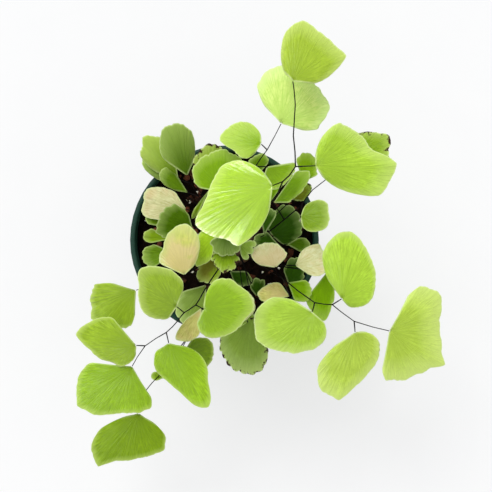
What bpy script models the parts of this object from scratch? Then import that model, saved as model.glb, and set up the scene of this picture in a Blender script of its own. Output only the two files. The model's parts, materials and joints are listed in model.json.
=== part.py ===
"""Silver-dollar maidenhair fern growing in a round plastic nursery pot.

Frame: the origin is the centre of the pot's foot on the ground, +Z is up and
the view from above has +X to the right and +Y up. Design values are in
millimetres and degrees; the scene is in metres.

The pot and the soil are turned profiles. Each frond is a wiry stem with short
stalks, united into one piece, and every leaflet is a thin fan-shaped blade of
its own at the end of its stalk.
"""

import math
from typing import NamedTuple

import bmesh
import bpy

MM = 0.001

# ---- driving dimensions ----------------------------------------------------

GAP = 0.3                     # clearance between pieces that touch

POT_HEIGHT = 90.0
RIM_RADIUS = 53.0             # outer radius of the rim lip
RIM_BAND = 2.8                # width of the flat band on top of the rim
WALL = 1.4
COLLAR_HEIGHT = 14.5          # the upright band below the rim
COLLAR_STEP = 2.0             # how far the wall steps in below the collar
FOOT_RADIUS = 38.0
DRAIN_CHANNEL = (15.0, 30.0)  # inner and outer radius of the raised ring
DRAIN_RISE = 1.8
DRAIN_HOLE_RADIUS = 3.0
DRAIN_HOLES = 6
FLOOR = 1.6
POT_STEPS = 48

SOIL_TOP = 79.5               # at the middle; it falls a little to the wall
SOIL_FALL = 1.3

CROWN = (7.5, -4.5)           # where the fronds leave the soil
CROWN_SIZE = (26.0, 19.0, 9.0)

BLADE = 0.4                   # thickness of a leaflet
BLADE_NOTCH = 0.9             # clear radius round the tip of the stalk
STALK_RADIUS = 0.35
STEM_SMOOTHING = 2            # curve samples between two stem points


# ---- scene helpers -----------------------------------------------------------

def clear_scene():
    for old in list(bpy.data.objects):
        bpy.data.objects.remove(old, do_unlink=True)


def new_collection(name):
    collection = bpy.data.collections.new(name)
    bpy.context.scene.collection.children.link(collection)
    return collection


def linear(channel):
    """One sRGB channel, 0 to 255, as a linear value."""
    value = channel / 255.0
    if value <= 0.04045:
        return value / 12.92
    return ((value + 0.055) / 1.055) ** 2.4


def new_material(name, rgb, roughness):
    material = bpy.data.materials.new(name)
    material.use_nodes = True
    shader = material.node_tree.nodes["Principled BSDF"]
    shader.inputs["Base Color"].default_value = (*[linear(c) for c in rgb], 1.0)
    shader.inputs["Roughness"].default_value = roughness
    shader.inputs["Metallic"].default_value = 0.0
    return material


def new_object(name, data, material=None):
    thing = bpy.data.objects.new(name, data)
    PLANT.objects.link(thing)
    if material:
        data.materials.append(material)
    return thing


def make_cutter(thing):
    """Keep an object as a Boolean operand only."""
    for collection in list(thing.users_collection):
        collection.objects.unlink(thing)
    CUTTERS.objects.link(thing)
    thing.hide_render = True
    thing.display_type = "WIRE"


def add_boolean(target, operand, operation):
    modifier = target.modifiers.new(operand.name, "BOOLEAN")
    modifier.operation = operation
    modifier.solver = "EXACT"
    modifier.object = operand
    make_cutter(operand)


def turned(name, profile, material):
    """Turn an (radius, height) outline about Z; it runs down its outer side."""
    mesh = bpy.data.meshes.new(name)
    points = [(radius * MM, 0.0, height * MM) for radius, height in profile]
    edges = [(i, i + 1) for i in range(len(points) - 1)]
    mesh.from_pydata(points, edges, [])
    thing = new_object(name, mesh, material)
    screw = thing.modifiers.new("turn", "SCREW")
    screw.steps = POT_STEPS
    screw.render_steps = POT_STEPS
    screw.use_merge_vertices = True
    screw.merge_threshold = 0.00001
    screw.use_smooth_shade = True
    return thing


# ---- pot and soil ------------------------------------------------------------

def wall_radius(height):
    """Outer radius of the tapered wall below the collar."""
    shoulder = POT_HEIGHT - COLLAR_HEIGHT
    top = RIM_RADIUS - 1.4 - COLLAR_STEP
    return FOOT_RADIUS + (top - FOOT_RADIUS) * height / shoulder


def floor_profile(lift):
    """Upper side of the pot's floor, raised by lift, from the wall inwards."""
    inner, outer = DRAIN_CHANNEL
    low = FLOOR + lift
    high = FLOOR + DRAIN_RISE + lift
    return [
        (wall_radius(low + 1.4) - WALL - lift, low + 1.4),
        (wall_radius(low) - WALL - 1.4, low),
        (outer + 1.7, low),
        (outer, high),
        (inner, high),
        (inner - 1.7, low),
        (0.0, low),
    ]


def make_pot():
    shoulder = POT_HEIGHT - COLLAR_HEIGHT
    collar = RIM_RADIUS - 1.4
    inner, outer = DRAIN_CHANNEL
    outside = [
        (RIM_RADIUS - RIM_BAND, POT_HEIGHT - 0.5),
        (RIM_RADIUS - RIM_BAND + 0.5, POT_HEIGHT),
        (RIM_RADIUS - 0.6, POT_HEIGHT),
        (RIM_RADIUS, POT_HEIGHT - 0.6),
        (RIM_RADIUS, POT_HEIGHT - 3.2),
        (RIM_RADIUS - 0.8, POT_HEIGHT - 4.0),
        (collar, shoulder + 1.0),
        (collar - 0.4, shoulder + 0.3),
        (wall_radius(shoulder), shoulder - 0.6),
        (wall_radius(2.0), 2.0),
        (FOOT_RADIUS - 0.4, 0.5),
        (FOOT_RADIUS - 1.0, 0.0),
        (outer + 1.0, 0.0),
        (outer - 0.7, DRAIN_RISE),
        (inner + 0.7, DRAIN_RISE),
        (inner - 1.0, 0.0),
        (0.0, 0.0),
    ]
    inside = floor_profile(0.0)[::-1] + [
        (wall_radius(shoulder) - WALL, shoulder + 0.4),
        (collar - WALL, shoulder + 1.6),
    ]
    profile = outside + inside + outside[:1]
    pot = turned("pot", profile, MATERIALS["pot_plastic"])
    middle = sum(DRAIN_CHANNEL) / 2
    for number in range(DRAIN_HOLES):
        angle = math.tau * (number + 0.4) / DRAIN_HOLES
        bpy.ops.mesh.primitive_cylinder_add(
            vertices=10, radius=DRAIN_HOLE_RADIUS * MM, depth=12 * MM,
            location=(middle * math.cos(angle) * MM, middle * math.sin(angle) * MM, 0.0))
        hole = bpy.context.object
        hole.name = f"drain_hole_{number + 1}"
        add_boolean(pot, hole, "DIFFERENCE")


def make_soil():
    shoulder = POT_HEIGHT - COLLAR_HEIGHT
    edge = RIM_RADIUS - 1.4 - WALL - GAP
    rim = SOIL_TOP - SOIL_FALL
    profile = [(0.0, SOIL_TOP)]
    for share in (0.3, 0.6, 0.85):
        profile.append((edge * share, SOIL_TOP - SOIL_FALL * share ** 2))
    profile += [
        (edge, rim),
        (edge, shoulder + 2.0),
        (wall_radius(shoulder) - WALL - GAP, shoulder + 0.8),
    ]
    profile += floor_profile(GAP)
    turned("potting_soil", profile, MATERIALS["potting_mix"])


def make_rhizome():
    """A low scaly lump that sits on the soil where the fronds start."""
    mesh = bpy.data.meshes.new("rhizome")
    shape = bmesh.new()
    bmesh.ops.create_icosphere(shape, subdivisions=2, radius=0.5)
    length, width, height = CROWN_SIZE
    base = SOIL_TOP + GAP
    for vertex in shape.verts:
        x, y, z = vertex.co
        lump = 1.0 + 0.12 * math.sin(9 * x + 4 * y) * math.cos(7 * y - 3 * z)
        vertex.co.x = (CROWN[0] + x * length * lump) * MM
        vertex.co.y = (CROWN[1] + y * width * lump) * MM
        vertex.co.z = (base + max(z, 0.0) * height * lump) * MM
    bmesh.ops.remove_doubles(shape, verts=shape.verts, dist=0.00001)
    bmesh.ops.dissolve_limit(
        shape, angle_limit=math.radians(1), verts=shape.verts, edges=shape.edges)
    shape.to_mesh(mesh)
    shape.free()
    new_object("rhizome", mesh, MATERIALS["rhizome"])


# ---- stems -------------------------------------------------------------------

def smooth_path(points):
    """Points along a Catmull-Rom curve through the route's own points."""
    padded = [points[0], *points, points[-1]]
    path = []
    for a, b, c, d in zip(padded, padded[1:], padded[2:], padded[3:]):
        for step in range(STEM_SMOOTHING):
            t = step / STEM_SMOOTHING
            path.append(tuple(
                0.5 * (2 * q + (r - p) * t + (2 * p - 5 * q + 4 * r - s) * t * t
                       + (3 * q - p - 3 * r + s) * t ** 3)
                for p, q, r, s in zip(a, b, c, d)))
    return path + [points[-1]]


def make_tube(name, path, start_radius, end_radius):
    """A capped round tube along the path, as a closed mesh."""
    curve = bpy.data.curves.new(name, "CURVE")
    curve.dimensions = "3D"
    curve.bevel_depth = MM
    curve.bevel_resolution = 1
    curve.use_fill_caps = True
    spline = curve.splines.new("POLY")
    spline.points.add(len(path) - 1)
    for index, (point, place) in enumerate(zip(spline.points, path)):
        share = index / (len(path) - 1)
        point.co = (place[0] * MM, place[1] * MM, place[2] * MM, 1.0)
        point.radius = start_radius + (end_radius - start_radius) * share
    guide = bpy.data.objects.new(name, curve)
    PLANT.objects.link(guide)
    bpy.context.view_layer.update()
    evaluated = guide.evaluated_get(bpy.context.evaluated_depsgraph_get())
    mesh = bpy.data.meshes.new_from_object(evaluated)
    bpy.data.objects.remove(guide, do_unlink=True)
    shape = bmesh.new()
    shape.from_mesh(mesh)
    bmesh.ops.remove_doubles(shape, verts=shape.verts, dist=0.00001)
    bmesh.ops.recalc_face_normals(shape, faces=shape.faces)
    shape.to_mesh(mesh)
    shape.free()
    mesh.materials.clear()
    mesh.shade_smooth()
    return new_object(name, mesh, MATERIALS["stem"])


def make_stem(frond):
    stem = make_tube(f"{frond.name}_stem", smooth_path(frond.route), frond.radius,
                     frond.radius * 0.62)
    for number, leaflet in enumerate(frond.leaflets):
        if leaflet.joint is None:
            continue
        stalk = make_tube(f"{frond.name}_stalk_{number + 1}",
                          [frond.route[leaflet.joint], leaflet.base],
                          STALK_RADIUS * 1.2, STALK_RADIUS)
        add_boolean(stem, stalk, "UNION")


# ---- leaflets ----------------------------------------------------------------

class Leaflet(NamedTuple):
    """One fan-shaped blade.

    joint    which point of the frond's route its stalk leaves, or None where
             the blade ends the stem itself
    base     where the stalk meets the blade
    fan      first and last direction of the blade, counter-clockwise from +X
    reach    length of the blade at equal angle steps across the fan
    pitch    rise along the middle of the fan (negative hangs down)
    bank     rise from the first side of the fan to the last
    cup      how far the outer margin curls down
    tone     its material
    name     only where it isn't numbered with its frond
    """
    joint: int | None
    base: tuple
    fan: tuple
    reach: tuple
    pitch: float
    bank: float
    cup: float
    tone: str
    name: str = ""


class Frond(NamedTuple):
    name: str
    radius: float
    route: list
    leaflets: list


def reach_at(reach, share):
    """Smooth radius of the blade's outline, share 0 to 1 across the fan."""
    place = share * (len(reach) - 1)
    index = min(int(place), len(reach) - 2)
    t = place - index
    a = reach[max(index - 1, 0)]
    b = reach[index]
    c = reach[index + 1]
    d = reach[min(index + 2, len(reach) - 1)]
    return 0.5 * (2 * b + (c - a) * t + (2 * a - 5 * b + 4 * c - d) * t * t
                  + (3 * b - a - 3 * c + d) * t ** 3)


def make_leaflet(name, leaflet):
    """A flat grid bent into the fan, then lifted, cupped and thickened."""
    across = 12 if max(leaflet.reach) > 18 else 8
    along = 2
    first, last = (math.radians(angle) for angle in leaflet.fan)
    middle = (first + last) / 2
    climb = math.tan(math.radians(leaflet.pitch))
    tilt = math.tan(math.radians(leaflet.bank))
    mesh = bpy.data.meshes.new(name)
    shape = bmesh.new()
    bmesh.ops.create_grid(shape, x_segments=across, y_segments=along, size=0.5)
    for vertex in shape.verts:
        share = vertex.co.x + 0.5
        out = vertex.co.y + 0.5
        angle = last + (first - last) * share
        radius = BLADE_NOTCH + (reach_at(leaflet.reach, 1 - share) - BLADE_NOTCH) * out
        forward = radius * math.cos(angle - middle)
        sideways = radius * math.sin(angle - middle)
        height = forward * climb + sideways * tilt - leaflet.cup * out * out
        vertex.co.x = (leaflet.base[0] + radius * math.cos(angle)) * MM
        vertex.co.y = (leaflet.base[1] + radius * math.sin(angle)) * MM
        vertex.co.z = (leaflet.base[2] + height) * MM
    bmesh.ops.recalc_face_normals(shape, faces=shape.faces)
    shape.to_mesh(mesh)
    shape.free()
    mesh.shade_smooth()
    blade = new_object(name, mesh, MATERIALS[leaflet.tone])
    solid = blade.modifiers.new("thickness", "SOLIDIFY")
    solid.thickness = BLADE * MM
    solid.offset = 0.0


FRONDS = [
    Frond("frond_a", 0.52, [
        (5, -6, 85), (3, -9, 96), (-3, -16, 110), (-10, -27, 128), (-14, -34, 136),
        (-20, -38, 136), (-24, -43, 134), (-30, -49, 126), (-42, -57, 116), (-50, -69, 107)], [
        Leaflet(4, (-10, -36, 138), (-115, 82), (8, 14, 17, 20, 22, 26, 22, 19, 6),
                -14, 12, 3, "leaf_green"),
        Leaflet(5, (-24, -35, 134), (68, 235), (8, 17, 22, 26, 22, 20, 17, 12, 8),
                16, -14, 3, "leaf_green"),
        Leaflet(7, (-29, -55, 122), (-146, -13), (9, 13, 18, 21, 28, 40, 30, 22, 10),
                -20, 12, 3, "leaf_green"),
        Leaflet(8, (-47, -57, 114), (133, 265), (20, 27, 32, 29, 22, 17, 15, 10, 6),
                -22, 10, 2.5, "leaf_green"),
        Leaflet(None, (-50, -69, 107), (176, 298), (24, 31, 36, 38, 34, 29, 27, 27, 21),
                -22, -6, 3.5, "leaf_green"),
    ]),
    Frond("frond_b", 0.5, [
        (4, -8, 85), (-4, -24, 95), (-13, -40, 99), (-21, -55, 101), (-26, -61, 102),
        (-36, -75, 101), (-43, -83, 97), (-48, -97, 91)], [
        Leaflet(None, (-48, -97, 91), (197, 324), (8, 32, 38, 33, 29, 27, 26, 24, 10),
                -24, 0, 2.5, "leaf_dark"),
        Leaflet(4, (-22, -61, 99), (-85, 55), (10, 15, 16, 15, 8), -20, 10, 1.5, "leaf_dark"),
        Leaflet(1, (-10, -25, 95), (195, 268), (14, 21, 24, 24, 18), 8, 0, 1.5, "leaf_green"),
        Leaflet(2, (-12, -37, 112), (-144, -93), (10, 22, 21, 18, 14), -14, 0, 1.5, "leaf_dry",
                "dry_leaflet_4"),
    ]),
    Frond("frond_c", 0.52, [
        (11, -7, 85), (21, -12, 96), (30, -19, 108), (32, -21, 114), (48, -33, 132),
        (57, -34, 134), (69, -43, 128), (89, -49, 116)], [
        Leaflet(4, (47, -38, 129), (148, 318), (12, 26, 31, 32, 27, 23, 20, 16, 9),
                -16, -12, 3.5, "leaf_bright"),
        Leaflet(5, (62, -31, 133), (-46, 125), (6, 10, 15, 18, 22, 27, 34, 31, 12),
                18, 10, 3.5, "leaf_bright"),
        Leaflet(6, (70, -49, 123), (-142, 0), (12, 34, 37, 32, 25, 21, 17, 12, 5),
                -24, 10, 3, "leaf_green"),
        Leaflet(None, (89, -49, 116), (-98, 61), (22, 29, 30, 34, 33, 29, 32, 34, 22),
                -22, 8, 4, "leaf_bright"),
        Leaflet(3, (36, -31, 104), (125, 192), (9, 12, 15, 18, 15), 10, 10, 1, "leaf_dry",
                "dry_leaflet_3"),
    ]),
    Frond("frond_d", 0.62, [
        (11, -2, 85), (17, 8, 118), (25, 19, 153), (28, 23, 164), (30, 28, 171),
        (36, 35, 175), (35, 50, 175), (36, 65, 174), (35, 77, 170)], [
        Leaflet(4, (25, 26, 172), (121, 263), (6, 18, 26, 29, 34, 41, 35, 29, 12),
                -14, -8, 4.5, "leaf_bright"),
        Leaflet(5, (46, 36, 167), (-51, 85), (8, 22, 36, 40, 31, 28, 25, 20, 7),
                -12, 14, 4, "leaf_bright"),
        Leaflet(None, (35, 77, 170), (-2, 129), (11, 20, 29, 29, 30, 31, 26, 14, 7),
                -18, 8, 3.5, "leaf_bright"),
    ]),
    Frond("frond_e", 0.5, [
        (7, -1, 85), (10, 21, 115), (17, 38, 135), (23, 46, 142), (30, 59, 146)], [
        Leaflet(None, (30, 59, 146), (-16, 131), (12, 21, 26, 26, 27, 28, 29, 26, 13),
                8, -6, 3.5, "leaf_pale"),
        Leaflet(3, (20, 49, 141), (93, 234), (5, 12, 18, 20, 15, 12, 6), -14, 10, 2, "leaf_green"),
        Leaflet(2, (23, 38, 133), (-110, 10), (6, 10, 11, 12, 14), -24, 0, 1.5, "leaf_dark"),
    ]),
    Frond("frond_f", 0.45, [
        (3, -1, 85), (-6, 12, 93), (-14, 24, 101), (-18, 31, 105)], [
        Leaflet(None, (-20, 35, 108), (66, 146), (10, 21, 28, 28, 22, 13), 30, 14, 2, "leaf_green"),
        Leaflet(3, (-25, 33, 101), (100, 160), (18, 26, 29, 26, 15), 16, -8, 2, "leaf_green"),
        Leaflet(2, (-20, 26, 101), (122, 170), (16, 20, 21, 17, 9), 14, 0, 1, "leaf_green"),
        Leaflet(1, (-27, 30, 96), (118, 160), (20, 24, 24, 21, 13), 6, 0, 1.5, "leaf_dark"),
        Leaflet(1, (-21, 17, 99), (122, 205), (12, 18, 24, 24, 24, 14), 6, -8, 2, "leaf_dry",
                "dry_leaflet_5"),
    ]),
    Frond("frond_g", 0.5, [
        (14, -4, 85), (33, 11, 106), (42, 19, 116), (47, 26, 131), (63, 38, 140)], [
        Leaflet(None, (66, 41, 140), (-30, 95), (12, 19, 21, 17, 9), 6, -14, 2, "leaf_green"),
        Leaflet(1, (27, 20, 112), (0, 55), (10, 15, 23, 25, 21), 20, 0, 1, "leaf_green"),
        Leaflet(2, (41, 12, 123), (-80, 70), (6, 10, 15, 15, 14, 6), 14, -14, 1.5, "leaf_green"),
    ]),
    Frond("frond_h", 0.45, [
        (0, -6, 85), (-12, -14, 90), (-30, -21, 95), (-49, -28, 96)], [
        Leaflet(None, (-49, -28, 96), (165, 267), (14, 25, 28, 30, 27, 23, 14),
                -18, 12, 2.5, "leaf_dark"),
        Leaflet(1, (-21, -19, 116), (45, 155), (8, 15, 23, 27, 26, 23, 18, 17, 15),
                10, -8, 2.5, "leaf_fading"),
    ]),
    Frond("frond_i", 0.45, [
        (6, -2, 85), (1, 8, 100), (-2, 18, 118), (-2, 23, 127)], [
        Leaflet(None, (-1, 25, 128), (56, 170), (21, 22, 21, 19, 12), 10, 12, 1.5, "leaf_green"),
        Leaflet(2, (-5, 27, 117), (72, 132), (22, 24, 24, 22, 17), 10, 0, 1, "leaf_dark"),
        Leaflet(1, (-17, 6, 107), (105, 200), (12, 17, 19, 19, 16), 14, 10, 1, "leaf_dark"),
    ]),
    Frond("frond_j", 0.45, [
        (12, -3, 85), (20, 0, 88), (26, 1, 91)], [
        Leaflet(None, (27, 2, 92), (-40, 125), (7, 14, 18, 20, 14, 8), 3, 0, 1.5, "leaf_dark"),
    ]),
    Frond("frond_k", 0.45, [
        (5, -4, 85), (1, -2, 100), (0, 0, 112), (1, 3, 124)], [
        Leaflet(None, (2, 4, 126), (205, 325), (10, 12, 13, 12, 10), -14, 0, 1.5, "leaf_green"),
        Leaflet(2, (1, -3, 118), (213, 322), (9, 12, 14, 13, 10), 12, 0, 1.5, "leaf_green"),
        Leaflet(1, (-4, 4, 109), (172, 262), (8, 11, 15, 18, 14), -8, 12, 1.5, "leaf_green"),
        Leaflet(1, (-4, -9, 100), (195, 285), (10, 13, 15, 15, 10), 10, 0, 1.5, "leaf_green"),
    ]),
    Frond("frond_l", 0.45, [
        (9, -8, 85), (12, -18, 92), (14, -28, 98), (16, -39, 101)], [
        Leaflet(None, (16, -40, 101), (216, 292), (22, 28, 32, 35, 36, 33, 24),
                -22, 0, 2, "leaf_dark"),
    ]),
    Frond("frond_m", 0.45, [
        (12, -6, 85), (20, -8, 92), (27, -14, 101), (28, -17, 109)], [
        Leaflet(None, (28, -15, 116), (44, 171), (7, 12, 14, 15, 9), 10, 8, 2, "leaf_dry",
                "dry_leaflet_1"),
        Leaflet(2, (39, -14, 108), (-34, 69), (9, 16, 16, 17, 8), 16, 0, 2, "leaf_dry",
                "dry_leaflet_2"),
        Leaflet(1, (36, -25, 90), (15, 110), (8, 13, 16, 13, 9), 3, 0, 1, "leaf_dark"),
        Leaflet(2, (56, -18, 106), (-128, -55), (19, 23, 27, 21, 12), -14, 0, 1.5, "leaf_green"),
        Leaflet(2, (30, -3, 107), (130, 182), (10, 12, 14, 12), 4, 0, 1, "leaf_dark"),
    ]),
]


def make_fronds():
    for frond in FRONDS:
        make_stem(frond)
        number = 0
        for leaflet in frond.leaflets:
            name = leaflet.name
            if not name:
                number += 1
                name = f"{frond.name}_leaflet_{number}"
            make_leaflet(name, leaflet)


# ---- build -------------------------------------------------------------------

clear_scene()
PLANT = new_collection("potted_fern")
CUTTERS = new_collection("cutters")
MATERIALS = {
    "pot_plastic": new_material("pot_plastic", (43, 70, 61), 0.4),
    "potting_mix": new_material("potting_mix", (34, 24, 18), 0.95),
    "rhizome": new_material("rhizome", (62, 40, 24), 0.85),
    "stem": new_material("stem", (28, 22, 20), 0.3),
    "leaf_bright": new_material("leaf_bright", (176, 210, 66), 0.5),
    "leaf_green": new_material("leaf_green", (140, 178, 45), 0.5),
    "leaf_dark": new_material("leaf_dark", (70, 102, 18), 0.55),
    "leaf_pale": new_material("leaf_pale", (208, 230, 132), 0.5),
    "leaf_fading": new_material("leaf_fading", (208, 203, 124), 0.65),
    "leaf_dry": new_material("leaf_dry", (214, 204, 156), 0.7),
}
make_pot()
make_soil()
make_rhizome()
make_fronds()
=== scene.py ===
"""Looks of the potted maidenhair fern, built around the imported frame.

Every leaflet of the frame is regrown as a thin veined blade with a toothed
margin, in the place and tilt that its CAD blade has, and in its size unless its
look says otherwise. The pot keeps its CAD shape with smoother surfaces, and the
stems do too but are slimmer. The soil gets crumbs, bark and perlite, and the
small leaflets low in the crown are added.
"""

import math
import random
from typing import NamedTuple

import bmesh
import bpy
import numpy as np
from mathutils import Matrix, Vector, noise
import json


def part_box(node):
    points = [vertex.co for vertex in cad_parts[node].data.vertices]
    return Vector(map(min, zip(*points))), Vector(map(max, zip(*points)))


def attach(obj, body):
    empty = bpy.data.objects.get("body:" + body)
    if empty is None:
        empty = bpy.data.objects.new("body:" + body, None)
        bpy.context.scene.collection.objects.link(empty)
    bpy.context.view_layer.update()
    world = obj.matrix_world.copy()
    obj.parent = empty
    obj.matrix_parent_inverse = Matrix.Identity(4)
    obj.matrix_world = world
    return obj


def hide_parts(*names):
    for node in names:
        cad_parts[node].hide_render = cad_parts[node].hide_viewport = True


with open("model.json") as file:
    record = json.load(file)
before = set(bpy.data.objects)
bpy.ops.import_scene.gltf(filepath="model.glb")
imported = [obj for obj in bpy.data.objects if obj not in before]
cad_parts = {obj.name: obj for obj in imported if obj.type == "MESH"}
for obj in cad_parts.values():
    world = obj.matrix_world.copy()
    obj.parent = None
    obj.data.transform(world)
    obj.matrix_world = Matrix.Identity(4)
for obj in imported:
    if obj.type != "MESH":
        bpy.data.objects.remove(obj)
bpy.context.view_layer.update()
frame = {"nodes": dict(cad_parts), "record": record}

MM = 0.001

# ---- places read from the frame ---------------------------------------------

SOIL_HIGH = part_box("potting_soil")[1]
CROWN_LOW, CROWN_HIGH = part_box("rhizome")
RIM_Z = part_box("pot")[1].z
SOIL_RADIUS = SOIL_HIGH.x
CROWN = Vector(((CROWN_LOW.x + CROWN_HIGH.x) / 2, (CROWN_LOW.y + CROWN_HIGH.y) / 2, SOIL_HIGH.z))

# ---- camera and light --------------------------------------------------------

CAMERA_ABOVE_RIM = 0.620
CAMERA_AIM = Vector((0.0121, -0.0034))    # from the pot's axis
CAMERA_LENS = 80.9
SKY_STRENGTH = 0.91
WINDOW_WAY = (-0.45, 0.85, 1.05)
WINDOW_ENERGY = 2.25
WINDOW_SPREAD = 34                        # degrees
GLOSS_WAY = (-0.63, -0.60, 0.49)          # of the lamp that only adds gloss
GLOSS_ENERGY = 1.7
GLOSS_SPREAD = 28
FLOOR_SIZE = 40.0
FLOOR_GLOW = 0.61                         # the floor lights itself up to near white


def make_camera():
    camera = bpy.data.objects.new("camera", bpy.data.cameras.new("camera"))
    bpy.context.scene.collection.objects.link(camera)
    camera.location = (CAMERA_AIM.x, CAMERA_AIM.y, RIM_Z + CAMERA_ABOVE_RIM)
    camera.data.lens = CAMERA_LENS
    camera.data.clip_start = 0.01
    bpy.context.scene.camera = camera


def add_light(name, way, energy, spread):
    """A distant light, spread degrees wide."""
    light = bpy.data.lights.new(name, "SUN")
    light.energy = energy
    light.angle = math.radians(spread)
    lamp = bpy.data.objects.new(name, light)
    bpy.context.scene.collection.objects.link(lamp)
    lamp.rotation_euler = Vector(way).to_track_quat("Z", "Y").to_euler()
    return lamp


def make_studio():
    scene = bpy.context.scene
    scene.view_settings.view_transform = "Standard"
    world = bpy.data.worlds.new("studio")
    scene.world = world
    world.use_nodes = True
    background = world.node_tree.nodes["Background"]
    background.inputs["Color"].default_value = (1.0, 1.0, 1.0, 1.0)
    background.inputs["Strength"].default_value = SKY_STRENGTH
    add_light("window", WINDOW_WAY, WINDOW_ENERGY, WINDOW_SPREAD)
    gloss = add_light("gloss", GLOSS_WAY, GLOSS_ENERGY, GLOSS_SPREAD)
    gloss.visible_diffuse = False
    gloss.visible_transmission = False
    bpy.ops.mesh.primitive_plane_add(size=FLOOR_SIZE, location=(0.0, 0.0, 0.0))
    floor = bpy.context.object
    floor.name = "floor"
    floor.data.materials.append(floor_material())


# ---- material helpers --------------------------------------------------------

def linear(channel):
    value = channel / 255.0
    if value <= 0.04045:
        return value / 12.92
    return ((value + 0.055) / 1.055) ** 2.4


def rgba(rgb):
    return (*[linear(c) for c in rgb], 1.0)


def scaled(rgb, factor):
    return tuple(min(255.0, c * factor) for c in rgb)


DEEPER_LOSS = (0.30, 0.22, 0.64)          # of red, green and blue at amount 1


def deeper(rgb, amount):
    """A darker and more saturated green, amount 0 to 1."""
    return tuple(c * (1 - amount * loss) for c, loss in zip(rgb, DEEPER_LOSS))


def towards(rgb, other, share):
    return tuple(c + (e - c) * share for c, e in zip(rgb, other))


class Nodes:
    """A material's node tree with short calls for the nodes used here."""

    def __init__(self, name, roughness=0.5):
        self.material = bpy.data.materials.new(name)
        self.material.use_nodes = True
        self.tree = self.material.node_tree
        self.shader = self.tree.nodes["Principled BSDF"]
        self.shader.inputs["Roughness"].default_value = roughness

    def add(self, kind, **values):
        node = self.tree.nodes.new("ShaderNode" + kind)
        for key, value in values.items():
            setattr(node, key, value)
        return node

    def link(self, source, target):
        self.tree.links.new(source, target)

    def put(self, socket, value):
        """Link value if it is a socket, or else set it."""
        if isinstance(value, bpy.types.NodeSocket):
            self.link(value, socket)
        else:
            socket.default_value = value

    def attribute(self, name):
        return self.add("Attribute", attribute_name=name).outputs["Fac"]

    def place(self):
        return self.add("TexCoord").outputs["Object"]

    def maths(self, operation, a, b=0.0, clamp=False):
        node = self.add("Math", operation=operation, use_clamp=clamp)
        self.put(node.inputs[0], a)
        self.put(node.inputs[1], b)
        return node.outputs[0]

    def noise(self, vector, scale, detail=3.0, rough=0.55):
        node = self.add("TexNoise")
        self.put(node.inputs["Vector"], vector)
        node.inputs["Scale"].default_value = scale
        node.inputs["Detail"].default_value = detail
        node.inputs["Roughness"].default_value = rough
        return node.outputs["Fac"]

    def span(self, value, low, high, to_low=0.0, to_high=1.0):
        node = self.add("MapRange")
        self.put(node.inputs["Value"], value)
        node.inputs["From Min"].default_value = low
        node.inputs["From Max"].default_value = high
        node.inputs["To Min"].default_value = to_low
        node.inputs["To Max"].default_value = to_high
        return node.outputs["Result"]

    def combine(self, x, y, z=0.0):
        node = self.add("CombineXYZ")
        for socket, value in zip(node.inputs, (x, y, z)):
            self.put(socket, value)
        return node.outputs[0]

    def mix(self, share, a, b, blend="MIX"):
        node = self.add("Mix", data_type="RGBA", blend_type=blend)
        self.put(node.inputs[0], share)
        self.put(node.inputs[6], a)
        self.put(node.inputs[7], b)
        return node.outputs[2]

    def bump(self, height, strength, distance):
        node = self.add("Bump")
        node.inputs["Strength"].default_value = strength
        node.inputs["Distance"].default_value = distance
        self.link(height, node.inputs["Height"])
        self.link(node.outputs[0], self.shader.inputs["Normal"])

    def colour(self, value):
        self.put(self.shader.inputs["Base Color"], value)


def floor_material():
    nodes = Nodes("floor_paper", 0.95)
    paper = nodes.noise(nodes.place(), 30.0, 4.0)
    nodes.colour(nodes.mix(paper, rgba((138, 138, 139)), rgba((142, 142, 142))))
    nodes.shader.inputs["Specular IOR Level"].default_value = 0.05
    nodes.shader.inputs["Emission Color"].default_value = (0.99, 0.995, 1.0, 1.0)
    nodes.shader.inputs["Emission Strength"].default_value = FLOOR_GLOW
    return nodes.material


class Finish(NamedTuple):
    """How a blade's surface looks; lengths in millimetres."""
    lit_rim: float = 0.3          # share of the blade's length painted paler towards the margin, painted light
    edge: float = 0.85        # strength of the thin pale line round the blade
    depth: float = 0.6        # strength of the darker green towards the stalk, painted shade
    relief: float = 0.6       # strength of the veins' bump
    glow: float = 0.30        # light that comes through the blade
    roughness: float = 0.32
    shine: float = 0.22
    burnt: float = 0.0        # width of the browned edge
    faded: float = 0.0        # how much of the blade has lost its green


TONES = {
    # pale is set brighter than its blade's own green, painted light coming through the blade
    "pale": (222, 248, 150),
    "lime": (188, 220, 74),
    "bright": (186, 222, 46),
    "fresh": (162, 200, 34),
    "olive": (156, 184, 44),
    "moss": (142, 174, 28),
    "herb": (130, 160, 22),
    "apple": (180, 204, 68),
    "sunny": (204, 226, 96),
    "grass": (146, 188, 20),
    "deep": (112, 148, 22),
    "dim": (80, 114, 8),
    "shade": (52, 90, 6),
    "dusty": (152, 180, 78),
    # straw is set brighter than the dry blades' own colour, painted light lifting them out of the
    # crown's shade
    "straw": (252, 238, 206),
    "tan": (238, 224, 148),
    "cream": (240, 228, 190),
    "fading": (214, 216, 108),
}
DRY_TONES = ("straw", "tan", "cream", "fading")
# The pale green of the thin margin line, and also the colour of the painted light towards the margin
PALE_MARGIN_AND_LIT_RIM = (226, 240, 176)
STRAW_PATCH = (240, 212, 166)
BROWN = (140, 98, 52)
SCORCHED = (62, 42, 28)


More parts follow.
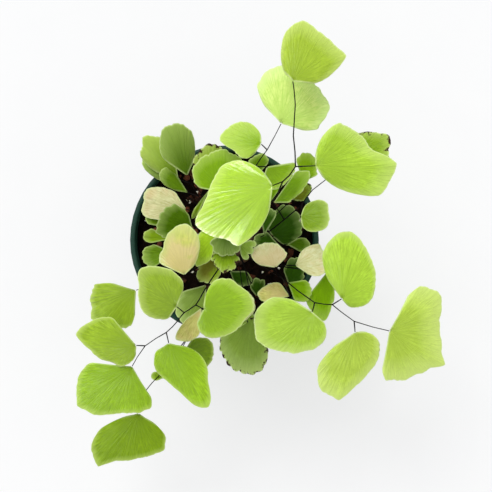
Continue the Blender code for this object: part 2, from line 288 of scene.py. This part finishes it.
def leaf_material(tone, finish):
    """A thin fern blade: forking veins, painted light along the folds and towards the margin, painted
    shade towards the stalk, a pale margin line and light through it.

    The blade's mesh carries where each point lies: across, in mm along the
    margin; out, 0 at the stalk to 1 at the margin; inset, mm from the margin.
    """
    name = "leaf_" + "_".join([tone, *[f"{value:g}".replace(".", "") for value in finish]])
    if name in bpy.data.materials:
        return bpy.data.materials[name]
    patch = STRAW_PATCH if tone in DRY_TONES else BROWN
    face = TONES[tone]
    nodes = Nodes(name, finish.roughness)
    across = nodes.attribute("across")
    out = nodes.attribute("out")
    inset = nodes.attribute("inset")
    place = nodes.place()

    def streaks(per_mm, stretch):
        spot = nodes.combine(nodes.maths("MULTIPLY", across, per_mm),
                             nodes.maths("MULTIPLY", out, stretch))
        return nodes.noise(spot, 1.0, 1.0)

    trunk_veins = streaks(0.7, 2.0)
    half_veins = streaks(1.2, 3.5)
    end_veins = streaks(2.0, 5.0)
    veins = nodes.mix(nodes.span(out, 0.15, 0.45), trunk_veins, half_veins)
    veins = nodes.mix(nodes.span(out, 0.45, 0.8), veins, end_veins)
    ribs = nodes.span(veins, 0.36, 0.64)
    folds = streaks(0.28, 0.5)
    cloud = nodes.noise(place, 60.0, 2.0)
    drift = nodes.noise(place, 14.0, 1.0)
    base = nodes.mix(ribs, rgba(deeper(face, 0.38)), rgba(scaled(face, 1.12)))
    # Lighter along the folds: painted light on the folds' ridges
    base = nodes.mix(nodes.span(folds, 0.4, 0.65, 0.0, 0.18), base, rgba(scaled(face, 1.10)))
    base = nodes.mix(nodes.span(cloud, 0.36, 0.64, 0.55, 0.0), base, rgba(deeper(face, 0.35)))
    base = nodes.mix(nodes.span(drift, 0.4, 0.62, 0.2, 0.0), base, rgba(deeper(face, 0.35)))
    # Darker green towards the stalk: painted shade
    base = nodes.mix(nodes.span(out, 0.25, 0.8, finish.depth, 0.0), base, rgba(deeper(face, 0.5)))
    grain = nodes.noise(place, 650.0, 2.0)
    base = nodes.mix(nodes.span(grain, 0.5, 0.7, 0.0, 0.45), base, rgba(deeper(face, 0.5)))
    if finish.faded:
        patches = nodes.noise(place, 52.0, 3.0, 0.6)
        blotch = nodes.span(patches, 0.45, 0.58, 0.0, finish.faded)
        base = nodes.mix(blotch, base, rgba(patch))
    # Paler towards the margin: painted light where the margin catches the light and lets it through
    light = towards(face, PALE_MARGIN_AND_LIT_RIM, 0.45)
    pale = towards(face, PALE_MARGIN_AND_LIT_RIM, 0.85)
    base = nodes.mix(nodes.span(out, 1 - finish.lit_rim, 1.0, 0.0, 0.95), base, rgba(light))
    base = nodes.mix(nodes.span(inset, 0.2, 0.9, finish.edge, 0.0), base, rgba(pale))
    if finish.burnt:
        frill = nodes.noise(place, 380.0, 3.0)
        reach = nodes.span(frill, 0.42, 0.68, 0.0, finish.burnt * 1.6)
        scorch = nodes.maths("SUBTRACT", reach, inset, True)
        base = nodes.mix(scorch, base, rgba(SCORCHED))
    nodes.colour(base)
    nodes.shader.inputs["Specular IOR Level"].default_value = finish.shine
    relief = nodes.maths("ADD", ribs, nodes.maths("MULTIPLY", folds, 1.5))
    nodes.bump(relief, finish.relief, 0.00025)
    through = nodes.add("BsdfTranslucent")
    nodes.link(base, through.inputs["Color"])
    both = nodes.add("MixShader")
    both.inputs[0].default_value = finish.glow
    nodes.link(nodes.shader.outputs[0], both.inputs[1])
    nodes.link(through.outputs[0], both.inputs[2])
    nodes.link(both.outputs[0], nodes.tree.nodes["Material Output"].inputs["Surface"])
    return nodes.material


def stem_material():
    nodes = Nodes("wiry_stem", 0.35)
    streaks = nodes.noise(nodes.place(), 260.0, 4.0)
    nodes.colour(nodes.mix(nodes.span(streaks, 0.4, 0.7), rgba((9, 8, 9)), rgba((24, 18, 17))))
    nodes.put(nodes.shader.inputs["Roughness"], nodes.span(streaks, 0.3, 0.8, 0.3, 0.45))
    nodes.shader.inputs["Specular IOR Level"].default_value = 0.03
    nodes.bump(streaks, 0.3, 0.0001)
    return nodes.material


def pot_material():
    nodes = Nodes("pot_plastic", 0.4)
    place = nodes.place()
    grain = nodes.noise(place, 900.0, 2.0)
    dust = nodes.noise(place, 38.0, 5.0, 0.65)
    green = nodes.mix(nodes.span(grain, 0.3, 0.7), rgba((22, 50, 40)), rgba((31, 62, 51)))
    green = nodes.mix(nodes.span(dust, 0.55, 0.8, 0.0, 0.35), green, rgba((70, 84, 72)))
    nodes.colour(green)
    nodes.shader.inputs["Specular IOR Level"].default_value = 0.16
    nodes.put(nodes.shader.inputs["Roughness"], nodes.span(dust, 0.4, 0.75, 0.34, 0.6))
    nodes.bump(grain, 0.25, 0.0001)
    return nodes.material


def soil_material():
    nodes = Nodes("potting_mix", 0.95)
    place = nodes.place()
    crumbs = nodes.noise(place, 420.0, 5.0, 0.65)
    fibres = nodes.noise(place, 150.0, 6.0, 0.7)
    # Near-black earth: the mix's own dark brown, darkened further as painted shade in the pot under
    # the fronds
    earth = nodes.mix(nodes.span(crumbs, 0.35, 0.7), rgba((7, 4, 3)), rgba((26, 15, 11)))
    earth = nodes.mix(nodes.span(fibres, 0.58, 0.74, 0.0, 0.6), earth, rgba((66, 36, 25)))
    nodes.colour(earth)
    nodes.shader.inputs["Specular IOR Level"].default_value = 0.05
    nodes.bump(crumbs, 0.9, 0.0008)
    return nodes.material


def bark_material():
    nodes = Nodes("bark", 0.85)
    place = nodes.place()
    patches = nodes.noise(place, 110.0, 3.0)
    grain = nodes.noise(place, 620.0, 4.0)
    bark = nodes.mix(nodes.span(patches, 0.35, 0.65), rgba((42, 23, 17)), rgba((118, 66, 46)))
    bark = nodes.mix(nodes.span(grain, 0.4, 0.7, 0.0, 0.6), bark, rgba((26, 17, 12)))
    nodes.colour(bark)
    nodes.shader.inputs["Specular IOR Level"].default_value = 0.1
    nodes.bump(grain, 0.7, 0.0004)
    return nodes.material


def perlite_material():
    nodes = Nodes("perlite", 0.8)
    pits = nodes.noise(nodes.place(), 700.0, 4.0)
    nodes.colour(nodes.mix(nodes.span(pits, 0.35, 0.6), rgba((176, 168, 152)), rgba((240, 236, 226))))
    nodes.bump(pits, 0.6, 0.0003)
    return nodes.material


def rhizome_material():
    nodes = Nodes("rhizome_scales", 0.8)
    scales = nodes.noise(nodes.place(), 340.0, 4.0)
    nodes.colour(nodes.mix(nodes.span(scales, 0.35, 0.65), rgba((38, 24, 15)), rgba((98, 64, 36))))
    nodes.bump(scales, 0.8, 0.0006)
    return nodes.material


# ---- mesh helpers ------------------------------------------------------------

def add_piece(name, mesh, material, slot, *replaced):
    piece = bpy.data.objects.new(name, mesh)
    bpy.context.scene.collection.objects.link(piece)
    mesh.materials.append(material)
    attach(piece, "root")
    if replaced:
        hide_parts(*replaced)
    return piece


def finished_mesh(name, shape):
    """The smooth-shaded mesh of a bmesh, which is freed."""
    mesh = bpy.data.meshes.new(name)
    shape.to_mesh(mesh)
    shape.free()
    mesh.shade_smooth()
    return mesh


def welded(node):
    """A CAD node's mesh with its split corners joined."""
    shape = bmesh.new()
    shape.from_mesh(frame["nodes"][node].data)
    bmesh.ops.remove_doubles(shape, verts=shape.verts, dist=0.000001)
    bmesh.ops.recalc_face_normals(shape, faces=shape.faces)
    return shape


# ---- leaflets ----------------------------------------------------------------

class Blade(NamedTuple):
    """A fan in plan over a sloping, cupped surface, in metres and radians."""
    base: Vector          # the tip of the stalk
    first: float          # direction of the fan's first side
    last: float
    reach: list           # outline radius at equal angle steps
    slope: tuple          # rise along X and Y
    cup: float            # fall of the margin


CAD_THICKNESS = 0.4 * MM
NOTCH_EDGE = 0.36 * MM    # edges round the notch at the stalk are shorter
SAME_SIDE = math.radians(3)


def upper_skin(shape):
    """The faces on the upper side of a thin blade, without its edge walls."""
    def is_wall(face):
        return any(abs(edge.calc_length() - CAD_THICKNESS) < 0.03 * MM for edge in face.edges)

    open_faces = {face for face in shape.faces if not is_wall(face)}
    start = max(open_faces, key=lambda face: face.normal.z * face.calc_area())
    skin = {start}
    queue = [start]
    while queue:
        for edge in queue.pop().edges:
            found = set(edge.link_faces) & open_faces - skin
            skin |= found
            queue += found
    return skin


def circle_centre(points):
    """Centre of the circle through points in plan, by least squares."""
    flat = np.array([(p.x, p.y) for p in points])
    middle = flat.mean(0)
    flat = flat - middle
    rows = np.c_[2 * flat, np.ones(len(flat))]
    centre = np.linalg.lstsq(rows, (flat ** 2).sum(1), rcond=None)[0]
    return middle + centre[:2]


def smooth_reach(reach, share):
    """Outline radius by a Catmull-Rom curve, share 0 to 1 across the fan."""
    place = share * (len(reach) - 1)
    index = min(int(place), len(reach) - 2)
    t = place - index
    a = reach[max(index - 1, 0)]
    b = reach[index]
    c = reach[index + 1]
    d = reach[min(index + 2, len(reach) - 1)]
    return 0.5 * (2 * b + (c - a) * t + (2 * a - 5 * b + 4 * c - d) * t * t
                  + (3 * b - a - 3 * c + d) * t ** 3)


def read_blade(node):
    """The fan, slope and cup of a CAD leaflet, measured on its mesh."""
    shape = welded(node)
    skin = upper_skin(shape)
    edges = {edge for face in skin for edge in face.edges
             if sum(other in skin for other in edge.link_faces) == 1}
    notch = {vertex for edge in edges if edge.calc_length() < NOTCH_EDGE for vertex in edge.verts}
    outer = [v.co for v in {v for edge in edges for v in edge.verts} - notch]
    centre = circle_centre([vertex.co for vertex in notch])
    ways = [co.xy - Vector(centre) for co in outer]
    middle = sum((way.normalized() for way in ways), Vector((0, 0)))
    heading = math.atan2(middle.y, middle.x)
    polar = sorted((math.remainder(math.atan2(way.y, way.x) - heading, math.tau), way.length)
                   for way in ways)
    angles, reach = [], []
    for angle, radius in polar:
        if angles and angle - angles[-1] < SAME_SIDE:
            if radius > reach[-1]:
                angles[-1], reach[-1] = angle, radius
        else:
            angles.append(angle)
            reach.append(radius)
    first, last = angles[0], angles[-1]
    rows, heights = [], []
    for co in {vertex.co.copy().freeze() for face in skin for vertex in face.verts}:
        way = co.xy - Vector(centre)
        angle = math.remainder(math.atan2(way.y, way.x) - heading, math.tau)
        share = min(max((angle - first) / (last - first), 0.0), 1.0)
        out = way.length / smooth_reach(reach, share)
        rows.append((1.0, way.x, way.y, -out * out))
        heights.append(co.z)
    fit = np.linalg.lstsq(np.array(rows), np.array(heights), rcond=None)[0]
    shape.free()
    base = Vector((centre[0], centre[1], fit[0]))
    return Blade(base, heading + first, heading + last, reach, (fit[1], fit[2]), fit[3])


class Habit(NamedTuple):
    """How a blade grows, lengths in millimetres."""
    pleats: float = 0.11      # depth of the folds that radiate from the stalk
    wave: float = 0.9         # rise and fall of the margin
    trough: float = 1.0       # lift of the fan's two sides
    flare: float = 0.6        # upward curl of the outer margin
    teeth: float = 0.10       # depth of the rounded teeth
    tooth: float = 2.0        # width of a tooth
    ragged: float = 0.40      # unevenness of the outline
    corner: float = 1.6       # rounding of the fan's two corners
    fluted: float = -1.0      # place across the fan of a stretch with fine deep flutes


GROW_START = 0.5 * MM         # the blade's inner end, at the stalk
BLADE_THICKNESS = 0.24 * MM
TIP_HALF_WIDTH = 5.0          # of a point that stands out of the outline, in mm
FLUTE_DEPTH = 0.13 * MM
FLUTE_STEP = 2.3              # in mm along the margin
FLUTED_SHARE = 0.24           # half width of the fluted stretch
ROWS = 16


def wander(place, seed):
    """A smooth value from -1 to 1 along a line, the same at every run."""
    return 2 * noise.noise(Vector((place, seed * 7.31, seed * 1.7)))


def outline(blade, habit, tips, seed, share):
    """Radius of the finished margin, share 0 to 1 across the fan."""
    spread = blade.last - blade.first
    margin = spread * sum(blade.reach) / len(blade.reach) / MM
    radius = smooth_reach(blade.reach, share) / MM
    along = share * margin
    for place, height in tips:
        away = abs(share - place) * margin / TIP_HALF_WIDTH
        radius += height * max(0.0, 1 - away) ** 1.3
    corner = min(habit.corner, 0.25 * margin)
    from_side = min(share, 1 - share) * spread * radius
    if from_side < corner:
        radius -= corner - math.sqrt(corner ** 2 - (corner - from_side) ** 2)
    lobe = abs(math.sin(math.pi * along / habit.tooth)) ** 0.6
    radius += habit.teeth * (lobe - 0.75)
    radius += habit.ragged * (0.5 * wander(along / 1.7, seed) + 0.8 * wander(along / 6, seed + 5))
    return radius * MM


def grow_leaf(name, blade, habit, tips, seed, material, slot, *replaced):
    """Build the finished blade as a fine fan-shaped grid."""
    spread = blade.last - blade.first
    middle = (blade.first + blade.last) / 2
    margin = spread * sum(blade.reach) / len(blade.reach)
    columns = int(min(max(margin / (0.5 * MM), 40), 130))
    pleat_count = 3 + margin / (3.2 * MM)
    shape = bmesh.new()
    layers = [shape.verts.layers.float.new(key) for key in ("across", "out", "inset")]
    grid = []
    for column in range(columns + 1):
        share = column / columns
        radius = outline(blade, habit, tips, seed, share)
        angle = blade.first + spread * share
        side = 2 * share - 1
        fold = math.sin(math.tau * pleat_count * (share + 0.08 * wander(share * 4, seed)) + seed)
        fold *= 0.35 + max(0.0, wander(share * 3.3 + 1, seed + 7)) * 1.4
        fold += 1.2 * wander(share * 2.5 + 5, seed + 3)
        flute = FLUTE_DEPTH * max(0.0, 1 - abs(share - habit.fluted) / FLUTED_SHARE) ** 0.5
        flute *= math.sin(math.tau * share * margin / MM / FLUTE_STEP + wander(share * 9, seed))
        line = []
        for row in range(ROWS + 1):
            out = (row / ROWS) ** 0.85
            reach = GROW_START + (radius - GROW_START) * out
            bow = 0.05 * spread * wander(share * 1.5 + 2, seed + 17) * out * (1 - side ** 4)
            x = reach * math.cos(angle + bow * (1 - out))
            y = reach * math.sin(angle + bow * (1 - out))
            z = blade.slope[0] * x + blade.slope[1] * y - blade.cup * out ** 2.2
            z += habit.trough * MM * (side ** 2 - 0.3) * out * (1.6 - out)
            z += habit.flare * MM * out ** 5
            z += habit.pleats * MM * fold * out ** 1.2
            z += flute * out
            z += habit.wave * MM * wander(share * 3.1 + 9, seed + 11) * out ** 2.5
            vertex = shape.verts.new(blade.base + Vector((x, y, z)))
            from_side = reach * math.sin(min(min(share, 1 - share) * spread, math.pi / 2))
            inset = min(radius - reach, from_side) / MM
            for layer, value in zip(layers, (share * margin / MM, out, inset)):
                vertex[layer] = value
            line.append(vertex)
        grid.append(line)
    for left, right in zip(grid, grid[1:]):
        for row in range(ROWS):
            shape.faces.new((left[row], left[row + 1], right[row + 1], right[row]))
    shape.normal_update()
    if sum(face.normal.z for face in shape.faces) < 0:
        bmesh.ops.reverse_faces(shape, faces=shape.faces)
    leaf = add_piece(name, finished_mesh(name, shape), material, slot, *replaced)
    solid = leaf.modifiers.new("thickness", "SOLIDIFY")
    solid.thickness = BLADE_THICKNESS
    solid.offset = 0.0
    leaf.modifiers.new("even_shading", "WEIGHTED_NORMAL")
    return leaf


YOUNG = Habit()
GLOSSY = Habit(pleats=0.07, wave=1.2, trough=0.0, flare=0.8, fluted=0.6)
FRILLED = Habit(pleats=0.14, teeth=0.35, tooth=2.6, ragged=0.7, trough=1.4)
CURLED = Habit(pleats=0.14, teeth=0.35, tooth=1.9, trough=-1.0, flare=-1.6, corner=3.0)
SCALLOPED = Habit(pleats=0.14, teeth=1.25, tooth=4.4, ragged=0.5, trough=1.4)
LOBED = Habit(pleats=0.35, teeth=1.7, tooth=4.6, ragged=0.7, trough=1.4)
STRIP = Habit(corner=3.0, trough=2.0, flare=-2.0)
DRIED = Habit(wave=1.0, flare=1.2, ragged=0.5)
CREASED = DRIED._replace(fluted=0.35)
# In these finishes the share of paler margin is painted light, and the darker green towards the stalk
# is painted shade
PLAIN = Finish()
CRISP = Finish(lit_rim=0.12, edge=0.4)
CRISP_DULL = CRISP._replace(shine=0.1)
HALF_RIM = Finish(lit_rim=0.5)
WIDE_RIM = Finish(lit_rim=0.8)
SATIN = Finish(lit_rim=0.25, relief=0.35, roughness=0.26, shine=0.4)
SOFT_RIM = Finish(lit_rim=0.8, depth=0.9, shine=0.1)
SHINY = Finish(lit_rim=0.2, relief=0.18, roughness=0.17, shine=0.9)
MATT = Finish(edge=0.45, shine=0.06)
BURNT = Finish(burnt=2.0, shine=0.1)
SPOTTED = Finish(burnt=1.0, faded=0.5, shine=0.1)
DRY = Finish(lit_rim=0.1, depth=0.3, roughness=0.4, faded=0.45)
SLEEK_DRY = Finish(faded=0.6, relief=0.2, roughness=0.2, shine=0.8)


class Look(NamedTuple):
    """What a leaflet shows: tone, habit, finish, and its outline's points and size.

    Each point is its place across the fan, 0 to 1, and its height in mm.
    """
    tone: str
    habit: Habit = YOUNG
    finish: Finish = PLAIN
    tips: tuple = ()
    size: float = 1.0


LOOKS = {
    "frond_a_leaflet_1": Look("fresh", finish=SATIN, tips=((0.57, 1.2), (0.93, 2.0))),
    "frond_a_leaflet_2": Look("olive", finish=SATIN, tips=((0.05, 2.5), (0.39, 1.8))),
    "frond_a_leaflet_3": Look("fresh", finish=CRISP, tips=((0.64, 2.8), (0.94, 2.0))),
    "frond_a_leaflet_4": Look("olive", finish=CRISP, tips=((0.30, 4.0), (0.52, 1.5))),
    "frond_a_leaflet_5": Look("fresh", finish=CRISP, tips=((0.33, 2.3), (0.46, 1.5), (0.95, 2.2))),
    "frond_b_leaflet_1": Look("moss", finish=CRISP_DULL, tips=((0.06, 4.0), (0.29, 4.8), (0.95, 2.8))),
    "frond_b_leaflet_2": Look("herb", finish=CRISP, tips=((0.05, 2.0),)),
    "frond_b_leaflet_3": Look("dusty", SCALLOPED),
    "frond_c_leaflet_1": Look("lime", finish=SATIN, tips=((0.07, 2.6), (0.34, 0.8))),
    "frond_c_leaflet_2": Look("lime", finish=CRISP, tips=((0.76, 1.2), (0.94, 3.0))),
    "frond_c_leaflet_3": Look("sunny", tips=((0.05, 5.0), (0.30, 4.2))),
    "frond_c_leaflet_4": Look("sunny", finish=HALF_RIM, tips=((0.04, 3.2), (0.42, 5.4), (0.96, 4.0))),
    "frond_d_leaflet_1": Look("bright", GLOSSY, SHINY, ((0.60, 2.4), (0.84, 2.2))),
    "frond_d_leaflet_2": Look("lime", tips=((0.21, 4.0), (0.40, 3.4), (0.81, 1.0))),
    "frond_d_leaflet_3": Look("apple", tips=((0.23, 3.0), (0.62, 1.8))),
    "frond_e_leaflet_1": Look("pale", tips=((0.05, 3.4), (0.70, 1.4), (0.94, 3.0))),
    "frond_e_leaflet_2": Look("fresh", finish=WIDE_RIM, tips=((0.57, 3.2), (0.92, 1.8))),
    "frond_e_leaflet_3": Look("fresh", FRILLED, size=1.15),
    "frond_f_leaflet_1": Look("deep", CURLED, SOFT_RIM, ((0.22, 1.8), (0.5, -1.8), (0.96, 3.0))),
    "frond_f_leaflet_2": Look("moss", CURLED, SOFT_RIM, ((0.50, 1.8), (0.62, -2.5))),
    "frond_f_leaflet_3": Look("deep", CURLED, MATT, ((0.05, 2.0),), 0.88),
    "frond_f_leaflet_4": Look("deep", CURLED, SOFT_RIM),
    "frond_g_leaflet_1": Look("moss", FRILLED, BURNT, ((0.50, 2.6),)),
    "frond_g_leaflet_2": Look("grass", FRILLED, tips=((0.20, -3.0), (0.48, -4.0))),
    "frond_g_leaflet_3": Look("moss", tips=((0.70, 1.0),)),
    "frond_h_leaflet_1": Look("olive", FRILLED, CRISP, ((0.08, 4.6), (0.46, 2.0), (0.94, 2.8))),
    "frond_h_leaflet_2": Look("fading", CREASED, SLEEK_DRY),
    "frond_i_leaflet_1": Look("grass", FRILLED),
    "frond_i_leaflet_2": Look("olive", FRILLED, BURNT, ((0.70, -2.4),)),
    "frond_i_leaflet_3": Look("dim", SCALLOPED, MATT, tips=((0.05, -4.0), (0.85, 2.0))),
    "frond_j_leaflet_1": Look("shade", SCALLOPED, MATT, tips=((0.12, 1.8), (0.85, -3.5))),
    "frond_k_leaflet_1": Look("dim", SCALLOPED, SOFT_RIM),
    "frond_k_leaflet_2": Look("moss", LOBED, BURNT),
    "frond_k_leaflet_3": Look("bright", FRILLED, tips=((0.75, 3.0),)),
    "frond_k_leaflet_4": Look("olive", FRILLED, SPOTTED, ((0.43, 2.6),)),
    "frond_l_leaflet_1": Look("dusty", SCALLOPED, BURNT),
    "frond_m_leaflet_1": Look("shade", SCALLOPED, MATT, tips=((0.24, -1.6), (0.75, 1.8))),
    "frond_m_leaflet_2": Look("grass", finish=MATT, tips=((0.68, -6.0), (0.86, -6.0))),
    "frond_m_leaflet_3": Look("shade", FRILLED, MATT),
    "dry_leaflet_1": Look("straw", DRIED, DRY, ((0.06, 1.5), (0.86, 2.4))),
    "dry_leaflet_2": Look("straw", DRIED, DRY, ((0.12, 2.0),)),
    "dry_leaflet_3": Look("tan", DRIED, DRY),
    "dry_leaflet_4": Look("tan", DRIED, DRY),
    "dry_leaflet_5": Look("cream", DRIED, DRY),
}


def make_leaflets():
    slots = {part["node"]: part["material_slot"] for part in frame["record"]["subparts"]}
    for seed, (node, look) in enumerate(LOOKS.items()):
        material = leaf_material(look.tone, look.finish)
        blade = read_blade(node)
        blade = blade._replace(reach=[radius * look.size for radius in blade.reach])
        grow_leaf(f"{node}_blade", blade, look.habit, look.tips, seed, material, slots[node], node)


class Sprout(NamedTuple):
    """A small leaflet low in the crown; offsets from the crown, in mm."""
    offset: tuple
    fan: tuple
    reach: tuple
    pitch: float
    tone: str
    habit: Habit = FRILLED
    finish: Finish = MATT
    slot: str = "leaf_dark"


SPROUT_CUP = 1.2 * MM
SPROUT_STALK = 0.25 * MM      # radius
FIRST_SPROUT_SEED = 60

SPROUTS = [
    Sprout((-37, 12, 15), (110, 170), (10, 14, 16, 14), 10, "deep"),
    Sprout((-37, 6, 13), (150, 192), (12, 15, 15, 12), 6, "moss"),
    Sprout((-35, -2, 12), (155, 215), (13, 17, 18, 15), 4, "deep"),
    Sprout((-15, 32, 34), (229, 244), (14, 18, 15), -30, "moss", STRIP),
    Sprout((35.7, 36.5, 36), (25, 108), (8.5, 10, 14.5, 15.5, 13.5), 5, "fresh"),
    Sprout((30, 27, 30), (-8, 60), (6, 10, 13.5, 12.5), 0, "grass", FRILLED, SPOTTED),
    Sprout((18, 25, 29), (55, 112), (13, 16, 16, 12), 12, "grass"),
    Sprout((15, 8, 31), (58, 102), (13, 15, 14, 12), 8, "shade"),
    Sprout((28, 3, 14), (-30, 30), (9, 13, 12, 8), 4, "dim"),
    Sprout((0.8, 3.7, 42), (-75, 12), (9, 9.5, 9.5, 9), -6, "dusty", LOBED),
    Sprout((-4, -12, 10), (-70, 0), (9, 12, 13, 10), 4, "shade"),
    Sprout((6, -40, 20), (160, 215), (5, 8, 8, 6), -4, "moss"),
    Sprout((28, -18, 27), (-70, 10), (11, 14, 13, 10), -4, "grass"),
    Sprout((-39, -70, 21), (145, 205), (5, 8, 8, 6), -6, "moss"),
    Sprout((-16, -23, 14), (200, 290), (7, 10, 11, 8), 0, "dusty"),
    Sprout((-10, -32, 40), (-25, 50), (16, 19.5, 19.5, 15), -4, "straw", DRIED, DRY, "leaf_dry"),
    Sprout((-24, 38, 22), (45, 88), (10, 14, 14, 10), 8, "deep"),
    Sprout((11, -26, 15), (45, 128), (6, 9.5, 10.5, 9, 6), 4, "shade", LOBED),
    Sprout((12.8, 42.9, 18), (45, 140), (7, 10, 10, 8), 6, "deep"),
]


def make_sprouts():
    """The low leaflets, each on a thin stalk that bows down to the crown."""
    stalks = bpy.data.curves.new("sprout_stalks", "CURVE")
    stalks.dimensions = "3D"
    stalks.bevel_depth = SPROUT_STALK
    stalks.bevel_resolution = 2
    stalks.use_fill_caps = True
    for number, sprout in enumerate(SPROUTS, 1):
        base = CROWN + Vector(sprout.offset) * MM
        first, last = (math.radians(angle) for angle in sprout.fan)
        middle = (first + last) / 2
        climb = math.tan(math.radians(sprout.pitch))
        slope = (climb * math.cos(middle), climb * math.sin(middle))
        reach = [radius * MM for radius in sprout.reach]
        blade = Blade(base, first, last, reach, slope, SPROUT_CUP)
        material = leaf_material(sprout.tone, sprout.finish)
        seed = FIRST_SPROUT_SEED + number
        grow_leaf(f"sprout_{number}", blade, sprout.habit, (), seed, material, sprout.slot)
        spline = stalks.splines.new("BEZIER")
        spline.bezier_points.add(1)
        start, end = spline.bezier_points
        start.co = CROWN + (base - CROWN) * 0.08
        end.co = base
        start.handle_right = start.co + Vector((0, 0, (base.z - CROWN.z) * 0.6))
        end.handle_left = base + (start.co - base) * 0.3
        start.handle_left = start.co
        end.handle_right = end.co
    add_piece("sprout_stalks", stalks, STEM, "stem")


# ---- stems, rhizome and pot --------------------------------------------------

STEM_SLIMMING = 0.3           # share of a CAD stem's mean radius


def smooth_copy(node, name, material, slot, sharp_degrees, slimmer=0.0):
    """A smooth-shaded copy of a CAD node in its place.

    slimmer is the share of a tube's mean radius that is taken off all round.
    """
    shape = welded(node)
    if slimmer:
        skin = sum(face.calc_area() for face in shape.faces)
        mean_radius = 2 * shape.calc_volume() / skin
        for vertex in shape.verts:
            vertex.co -= vertex.normal * slimmer * mean_radius
    mesh = finished_mesh(name, shape)
    mesh.set_sharp_from_angle(angle=math.radians(sharp_degrees))
    return add_piece(name, mesh, material, slot, node)


def make_stems():
    for node in sorted(frame["nodes"]):
        if node.endswith("_stem"):
            smooth_copy(node, f"{node}_wire", STEM, "stem", 70, STEM_SLIMMING)


def make_pot():
    smooth_copy("pot", "nursery_pot", pot_material(), "pot_plastic", 40)


def make_rhizome():
    """The CAD lump with a rough, scaly skin."""
    shape = welded("rhizome")
    bmesh.ops.triangulate(shape, faces=shape.faces)
    bmesh.ops.subdivide_edges(shape, edges=shape.edges, cuts=5, use_grid_fill=True)
    for vertex in shape.verts:
        out = (vertex.co - CROWN).normalized()
        vertex.co -= out * (0.8 * MM * abs(noise.noise(vertex.co * 420.0)))
    mesh = finished_mesh("rhizome_skin", shape)
    add_piece("rhizome_skin", mesh, rhizome_material(), "rhizome", "rhizome")


# ---- soil --------------------------------------------------------------------

SOIL_RINGS = 60
SOIL_SEGMENTS = 180
SOIL_FALL = 1.3 * MM          # from the middle to the wall
CRUST_DEPTH = 2.2 * MM        # how far the crust goes down into the CAD soil


def soil_height(x, y):
    """Rough top of the soil over its CAD surface."""
    share = math.hypot(x, y) / SOIL_RADIUS
    fall = SOIL_FALL * share ** 2
    bumps = noise.fractal(Vector((x, y, 0.3)) * 170.0, 0.8, 2.1, 4)
    crumbs = abs(noise.noise(Vector((x, y, 0.9)) * 620.0))
    return SOIL_HIGH.z - fall + (0.7 + 0.9 * bumps + 0.9 * crumbs) * MM * (1 - 0.4 * share ** 6)


def make_soil():
    """A rough cap on the soil, closed below inside the CAD soil."""
    shape = bmesh.new()
    centre = shape.verts.new((0.0, 0.0, soil_height(0.0, 0.0)))
    rings = []
    for ring in range(1, SOIL_RINGS + 1):
        radius = SOIL_RADIUS * ring / SOIL_RINGS
        rings.append([])
        for step in range(SOIL_SEGMENTS):
            angle = math.tau * step / SOIL_SEGMENTS
            x, y = radius * math.cos(angle), radius * math.sin(angle)
            rings[-1].append(shape.verts.new((x, y, soil_height(x, y))))
    under = SOIL_HIGH.z - CRUST_DEPTH
    rings.append([shape.verts.new((v.co.x, v.co.y, under)) for v in rings[-1]])
    for step in range(SOIL_SEGMENTS):
        after = (step + 1) % SOIL_SEGMENTS
        shape.faces.new((centre, rings[0][step], rings[0][after]))
        for inner, outer in zip(rings, rings[1:]):
            shape.faces.new((inner[step], outer[step], outer[after], inner[after]))
    shape.faces.new(rings[-1][::-1])
    bmesh.ops.recalc_face_normals(shape, faces=shape.faces)
    mesh = finished_mesh("soil_crust", shape)
    mix = soil_material()
    add_piece("soil_crust", mesh, mix, "potting_mix")
    soil = frame["nodes"]["potting_soil"]
    soil.data.materials.clear()
    soil.data.materials.append(mix)


def scatter(name, count, sizes, flatness, seed, material, slot, radius=0.96):
    """Irregular crumbs, each the hull of a few random points, lying on the soil."""
    dice = random.Random(seed)
    shape = bmesh.new()
    for _ in range(count):
        size = dice.uniform(*sizes) * MM
        distance = SOIL_RADIUS * radius * math.sqrt(dice.random()) - size
        angle = dice.uniform(0, math.tau)
        x, y = distance * math.cos(angle), distance * math.sin(angle)
        turn = dice.uniform(0, math.tau)
        length = dice.uniform(1.0, 1.7)
        middle = Vector((x, y, soil_height(x, y) + size * flatness * 0.25))
        corners = []
        for _ in range(14):
            way = Vector([dice.gauss(0, 1) for _ in range(3)]).normalized()
            way *= size / 2 * dice.uniform(0.8, 1.1)
            way.x *= length
            way.z *= flatness
            spot = Vector((way.x * math.cos(turn) - way.y * math.sin(turn),
                           way.x * math.sin(turn) + way.y * math.cos(turn),
                           way.z + way.x * dice.uniform(-0.1, 0.1)))
            corners.append(shape.verts.new(middle + spot))
        result = bmesh.ops.convex_hull(shape, input=corners)
        loose = [item for item in result["geom_interior"] if isinstance(item, bmesh.types.BMVert)]
        bmesh.ops.delete(shape, geom=loose, context="VERTS")
    mesh = bpy.data.meshes.new(name)
    shape.to_mesh(mesh)
    shape.free()
    add_piece(name, mesh, material, slot)


# ---- build -------------------------------------------------------------------

make_camera()
make_studio()
STEM = stem_material()
make_pot()
make_soil()
scatter("bark_bits", 230, (1.2, 4.5), 0.45, 4, bark_material(), "potting_mix")
scatter("perlite_grains", 46, (0.9, 2.6), 0.8, 11, perlite_material(), "potting_mix", 0.98)
make_rhizome()
make_stems()
make_leaflets()
make_sprouts()

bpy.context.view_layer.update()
import json
